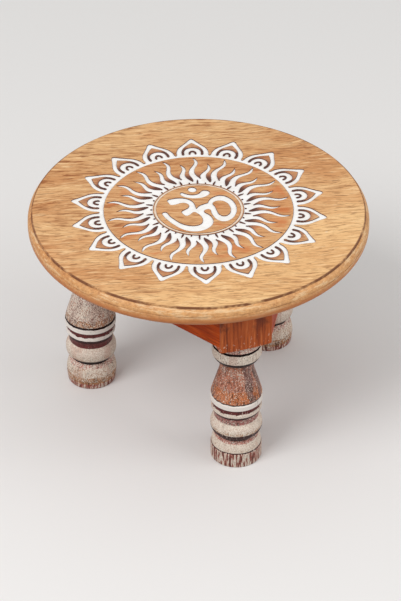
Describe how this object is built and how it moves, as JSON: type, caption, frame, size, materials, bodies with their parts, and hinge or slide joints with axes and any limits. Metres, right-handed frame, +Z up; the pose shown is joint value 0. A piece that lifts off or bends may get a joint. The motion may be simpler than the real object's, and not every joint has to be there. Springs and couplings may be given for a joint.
{
  "type": "low table",
  "caption": "Small round low table of solid wood: a thick disc with a carved and painted top, on turned legs with square blocks joined by tenoned rails.",
  "frame": {"origin": "on the floor, under the middle of the round top", "axes": "+Z up; -Y towards the front leg; +X to the right seen from the front"},
  "size_m": [0.254, 0.254, 0.167],
  "materials": {
    "top_wood": "honey-coloured oiled wood, satin, with a white-painted carving",
    "leg_wood": "brown wood under a worn, sanded whitewash",
    "rail_wood": "red-brown stained wood, satin",
    "screw_steel": "zinc-plated steel"
  },
  "bodies": {
    "root": {"tabletop": "top_wood", "leg_1": "leg_wood", "leg_2": "leg_wood", "leg_3": "leg_wood", "rail_1": "rail_wood", "rail_2": "rail_wood", "rail_3": "rail_wood", "top_screws": "screw_steel"}
  },
  "joints": []
}
